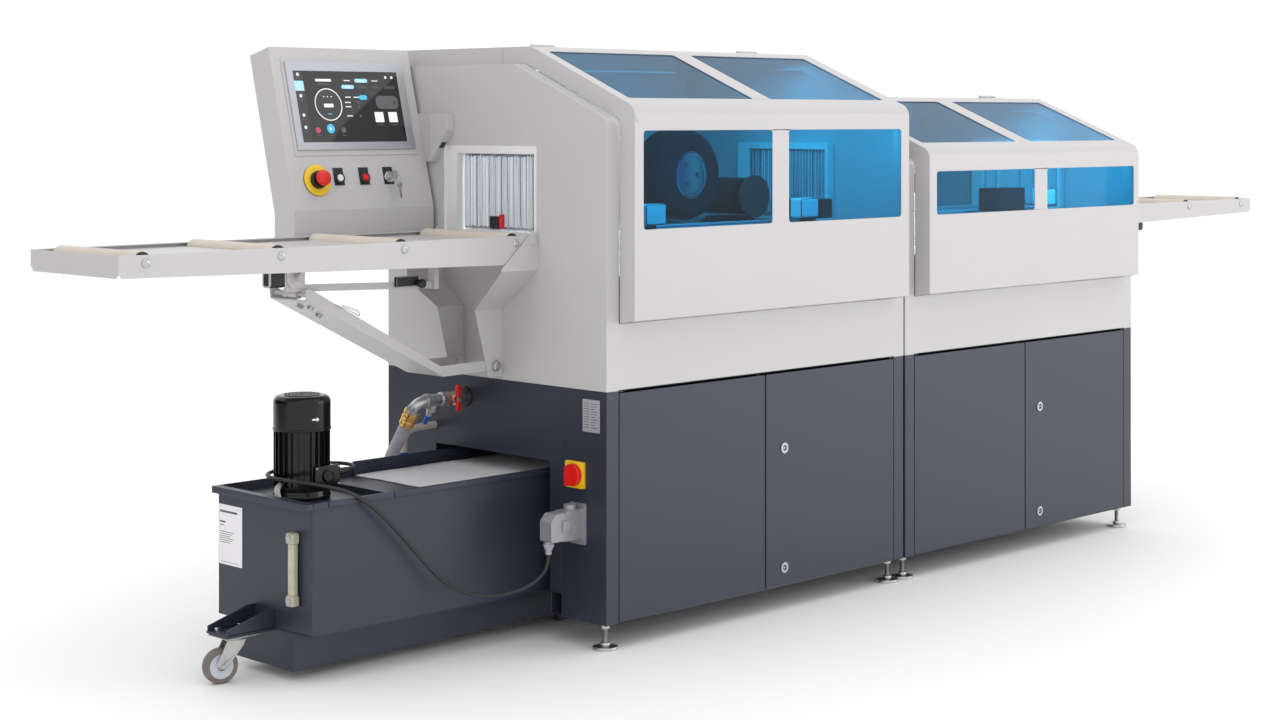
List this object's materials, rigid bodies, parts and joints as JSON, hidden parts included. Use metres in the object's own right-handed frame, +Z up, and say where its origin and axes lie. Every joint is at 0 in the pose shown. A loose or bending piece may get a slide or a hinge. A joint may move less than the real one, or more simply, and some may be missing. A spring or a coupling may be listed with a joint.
{
  "type": "edge tuning machine",
  "caption": "Automatic ski edge tuning machine in joined cabinets with lifting hoods, folding roller tables, slide-out coolant tank and tilted control panel.",
  "frame": {"origin": "on the floor, in the middle of the machine's length and depth", "axes": "+X along the ski's travel from the infeed to the outfeed end, +Y from the door side to the back, +Z up"},
  "size_m": [4.68, 0.888, 1.476],
  "materials": {
    "light_paint": "satin warm silver-grey powder coat",
    "dark_paint": "satin blue-grey powder coat",
    "plated_steel": "bright zinc plate",
    "bright_metal": "polished chrome",
    "tinted_pane": "blue tinted transparent acrylic",
    "screen_frame": "fine satin anodised",
    "screen_glass": "black display behind glass",
    "panel_black": "fine matte black",
    "signal_red": "glossy moulded red",
    "signal_yellow": "satin moulded yellow",
    "white_plastic": "satin white plastic",
    "clear_strip": "soft clear strip",
    "roller_cover": "fine matte beige plastic",
    "fittings": "cast and galvanised steel with brass",
    "cast_grey": "cast aluminium, fine grain",
    "motor_black": "glossy black enamel",
    "fleece": "light grey filter fleece",
    "cable_black": "smooth black rubber",
    "hose_grey": "ribbed violet-grey hose",
    "tyre_black": "smooth kart tyre",
    "caster_rubber": "grey-brown tread on a light rim",
    "abrasive": "bonded abrasive on a steel backing"
  },
  "bodies": {
    "machine": {"lower_cabinet_left": "dark_paint", "lower_cabinet_right": "dark_paint", "upper_body_left": "light_paint", "upper_body_right": "light_paint", "levelling_feet": "plated_steel", "transport_bed": "plated_steel", "grinder_units": "panel_black", "strip_curtains": "clear_strip", "opening_trims": "white_plastic", "panel_housing": "light_paint", "screen_frame": "screen_frame", "screen_glass": "screen_glass", "button_bases": "panel_black", "connector_base": "cast_grey", "main_switch_plate": "signal_yellow", "drain_pipe": "fittings", "table_brackets": "light_paint"},
    "tyre": {"drive_rim": "plated_steel", "drive_tyre": "tyre_black"},
    "press_arm": {"press_arm": "plated_steel"},
    "base_disc": {"base_disc": "abrasive"},
    "edge_disc": {"edge_disc": "abrasive"},
    "estop_button": {"estop_button": "signal_red"},
    "start_button": {"start_button": "white_plastic"},
    "stop_button": {"stop_button": "signal_red"},
    "key_switch": {"key_switch": "bright_metal"},
    "main_switch": {"main_switch_knob": "signal_red"},
    "drain_valve": {"valve_handle": "signal_red"},
    "tank": {"tank": "dark_paint", "filter_fleece": "fleece", "pump_motor": "motor_black", "power_cable": "cable_black", "connector_plug": "cast_grey", "drain_hose": "hose_grey"},
    "caster_fork": {"caster_fork": "plated_steel"},
    "caster_wheel": {"caster_wheel": "caster_rubber"},
    "hood_left": {"hood_left": "light_paint", "hood_left_panes": "tinted_pane"},
    "door_left_a": {"door_left_a": "dark_paint"},
    "door_left_b": {"door_left_b": "dark_paint"},
    "door_left_lock_1": {"door_left_lock_1": "bright_metal"},
    "door_left_lock_2": {"door_left_lock_2": "bright_metal"},
    "hood_right": {"hood_right": "light_paint", "hood_right_panes": "tinted_pane"},
    "door_right_a": {"door_right_a": "dark_paint"},
    "door_right_b": {"door_right_b": "dark_paint"},
    "door_right_lock_1": {"door_right_lock_1": "bright_metal"},
    "door_right_lock_2": {"door_right_lock_2": "bright_metal"},
    "infeed_table": {"infeed_table": "light_paint"},
    "infeed_strut": {"infeed_strut": "light_paint"},
    "infeed_roller_1": {"infeed_roller_1": "roller_cover"},
    "infeed_roller_2": {"infeed_roller_2": "roller_cover"},
    "infeed_roller_3": {"infeed_roller_3": "roller_cover"},
    "infeed_roller_4": {"infeed_roller_4": "roller_cover"},
    "outfeed_table": {"outfeed_table": "light_paint"},
    "outfeed_strut": {"outfeed_strut": "light_paint"},
    "outfeed_roller_1": {"outfeed_roller_1": "roller_cover"},
    "outfeed_roller_2": {"outfeed_roller_2": "roller_cover"},
    "outfeed_roller_3": {"outfeed_roller_3": "roller_cover"},
    "outfeed_roller_4": {"outfeed_roller_4": "roller_cover"}
  },
  "joints": [
    {"name": "hood_left_lift", "type": "hinge", "parent": "machine", "child": "hood_left", "pos_m": [-0.579, 0.0325, 1.471], "axis": [-1, 0, 0], "range_deg": [0, 75]},
    {"name": "door_left_a_swing", "type": "hinge", "parent": "machine", "child": "door_left_a", "pos_m": [-1.101, -0.3845, 0.34], "axis": [0, 0, -1], "range_deg": [0, 90]},
    {"name": "door_left_b_swing", "type": "hinge", "parent": "machine", "child": "door_left_b", "pos_m": [-0.057, -0.3845, 0.34], "axis": [0, 0, 1], "range_deg": [0, 90]},
    {"name": "door_left_lock_1_turn", "type": "hinge", "parent": "door_left_b", "child": "door_left_lock_1", "pos_m": [-0.506, -0.39, 0.424], "axis": [0, -1, 0], "range_deg": [0, 90]},
    {"name": "door_left_lock_2_turn", "type": "hinge", "parent": "door_left_b", "child": "door_left_lock_2", "pos_m": [-0.506, -0.39, 0.112], "axis": [0, -1, 0], "range_deg": [0, 90]},
    {"name": "hood_right_lift", "type": "hinge", "parent": "machine", "child": "hood_right", "pos_m": [0.579, 0.0325, 1.353], "axis": [-1, 0, 0], "range_deg": [0, 75]},
    {"name": "door_right_a_swing", "type": "hinge", "parent": "machine", "child": "door_right_a", "pos_m": [0.057, -0.3845, 0.34], "axis": [0, 0, -1], "range_deg": [0, 90]},
    {"name": "door_right_b_swing", "type": "hinge", "parent": "machine", "child": "door_right_b", "pos_m": [1.101, -0.3845, 0.34], "axis": [0, 0, 1], "range_deg": [0, 90]},
    {"name": "door_right_lock_1_turn", "type": "hinge", "parent": "door_right_b", "child": "door_right_lock_1", "pos_m": [0.652, -0.39, 0.424], "axis": [0, -1, 0], "range_deg": [0, 90]},
    {"name": "door_right_lock_2_turn", "type": "hinge", "parent": "door_right_b", "child": "door_right_lock_2", "pos_m": [0.652, -0.39, 0.112], "axis": [0, -1, 0], "range_deg": [0, 90]},
    {"name": "infeed_fold", "type": "hinge", "parent": "machine", "child": "infeed_table", "pos_m": [-1.172, 0.04, 0.981], "axis": [0, 1, 0], "range_deg": [0, 75]},
    {"name": "infeed_strut_turn", "type": "hinge", "parent": "machine", "child": "infeed_strut", "pos_m": [-1.178, 0.062, 0.662], "axis": [0, 1, 0], "range_deg": [0, 51.2]},
    {"name": "infeed_roller_1_spin", "type": "hinge", "parent": "infeed_table", "child": "infeed_roller_1", "pos_m": [-2.273, 0.039, 0.977], "axis": [0, 1, 0], "continuous": true},
    {"name": "infeed_roller_2_spin", "type": "hinge", "parent": "infeed_table", "child": "infeed_roller_2", "pos_m": [-1.923, 0.039, 0.977], "axis": [0, 1, 0], "continuous": true},
    {"name": "infeed_roller_3_spin", "type": "hinge", "parent": "infeed_table", "child": "infeed_roller_3", "pos_m": [-1.572, 0.039, 0.977], "axis": [0, 1, 0], "continuous": true},
    {"name": "infeed_roller_4_spin", "type": "hinge", "parent": "infeed_table", "child": "infeed_roller_4", "pos_m": [-1.222, 0.039, 0.977], "axis": [0, 1, 0], "continuous": true},
    {"name": "outfeed_fold", "type": "hinge", "parent": "machine", "child": "outfeed_table", "pos_m": [1.172, 0.04, 0.981], "axis": [0, -1, 0], "range_deg": [0, 75]},
    {"name": "outfeed_strut_turn", "type": "hinge", "parent": "machine", "child": "outfeed_strut", "pos_m": [1.178, 0.062, 0.662], "axis": [0, -1, 0], "range_deg": [0, 51.2]},
    {"name": "outfeed_roller_1_spin", "type": "hinge", "parent": "outfeed_table", "child": "outfeed_roller_1", "pos_m": [2.273, 0.039, 0.977], "axis": [0, 1, 0], "continuous": true},
    {"name": "outfeed_roller_2_spin", "type": "hinge", "parent": "outfeed_table", "child": "outfeed_roller_2", "pos_m": [1.923, 0.039, 0.977], "axis": [0, 1, 0], "continuous": true},
    {"name": "outfeed_roller_3_spin", "type": "hinge", "parent": "outfeed_table", "child": "outfeed_roller_3", "pos_m": [1.572, 0.039, 0.977], "axis": [0, 1, 0], "continuous": true},
    {"name": "outfeed_roller_4_spin", "type": "hinge", "parent": "outfeed_table", "child": "outfeed_roller_4", "pos_m": [1.222, 0.039, 0.977], "axis": [0, 1, 0], "continuous": true},
    {"name": "press_arm_lift", "type": "hinge", "parent": "machine", "child": "press_arm", "pos_m": [-0.287, 0.11, 1.12], "axis": [0, 1, 0], "range_deg": [0, 12]},
    {"name": "drive_tyre_spin", "type": "hinge", "parent": "press_arm", "child": "tyre", "pos_m": [-0.466, 0.04, 1.129], "axis": [0, 1, 0], "continuous": true},
    {"name": "base_disc_spin", "type": "hinge", "parent": "machine", "child": "base_disc", "pos_m": [-0.214, -0.02, 1.064], "axis": [0, 1, 0], "continuous": true},
    {"name": "edge_disc_spin", "type": "hinge", "parent": "machine", "child": "edge_disc", "pos_m": [0.524, -0.02, 1.056], "axis": [0, 1, 0], "continuous": true},
    {"name": "estop_push", "type": "slide", "parent": "machine", "child": "estop_button", "axis": [0, 0.9659, -0.2588], "range_m": [0, 0.0035]},
    {"name": "start_push", "type": "slide", "parent": "machine", "child": "start_button", "axis": [0, 0.9659, -0.2588], "range_m": [0, 0.0015], "stiffness_N_per_m": 300},
    {"name": "stop_push", "type": "slide", "parent": "machine", "child": "stop_button", "axis": [0, 0.9659, -0.2588], "range_m": [0, 0.0015], "stiffness_N_per_m": 300},
    {"name": "key_turn", "type": "hinge", "parent": "machine", "child": "key_switch", "pos_m": [-1.298, 0.26471, 1.13327], "axis": [0, 0.9659, -0.2588], "range_deg": [0, 45]},
    {"name": "main_switch_turn", "type": "hinge", "parent": "machine", "child": "main_switch", "pos_m": [-1.164, -0.285, 0.418], "axis": [1, 0, 0], "range_deg": [0, 90]},
    {"name": "drain_valve_turn", "type": "hinge", "parent": "machine", "child": "drain_valve", "pos_m": [-1.202, 0.1, 0.57], "axis": [0, -1, 0], "range_deg": [0, 90]},
    {"name": "tank_slide", "type": "slide", "parent": "machine", "child": "tank", "axis": [-1, 0, 0], "range_m": [0, 0.45]},
    {"name": "caster_swivel", "type": "hinge", "parent": "tank", "child": "caster_fork", "pos_m": [-1.93, 0.028, 0.1], "axis": [0, 0, 1], "continuous": true},
    {"name": "caster_wheel_spin", "type": "hinge", "parent": "caster_fork", "child": "caster_wheel", "pos_m": [-1.96497, 0.03698, 0.04], "axis": [-0.2487, -0.9686, 0], "continuous": true}
  ],
  "couplings": [
    {"joint": "infeed_strut_turn", "follows": "infeed_fold", "ratio": 0.681},
    {"joint": "outfeed_strut_turn", "follows": "outfeed_fold", "ratio": 0.681}
  ]
}
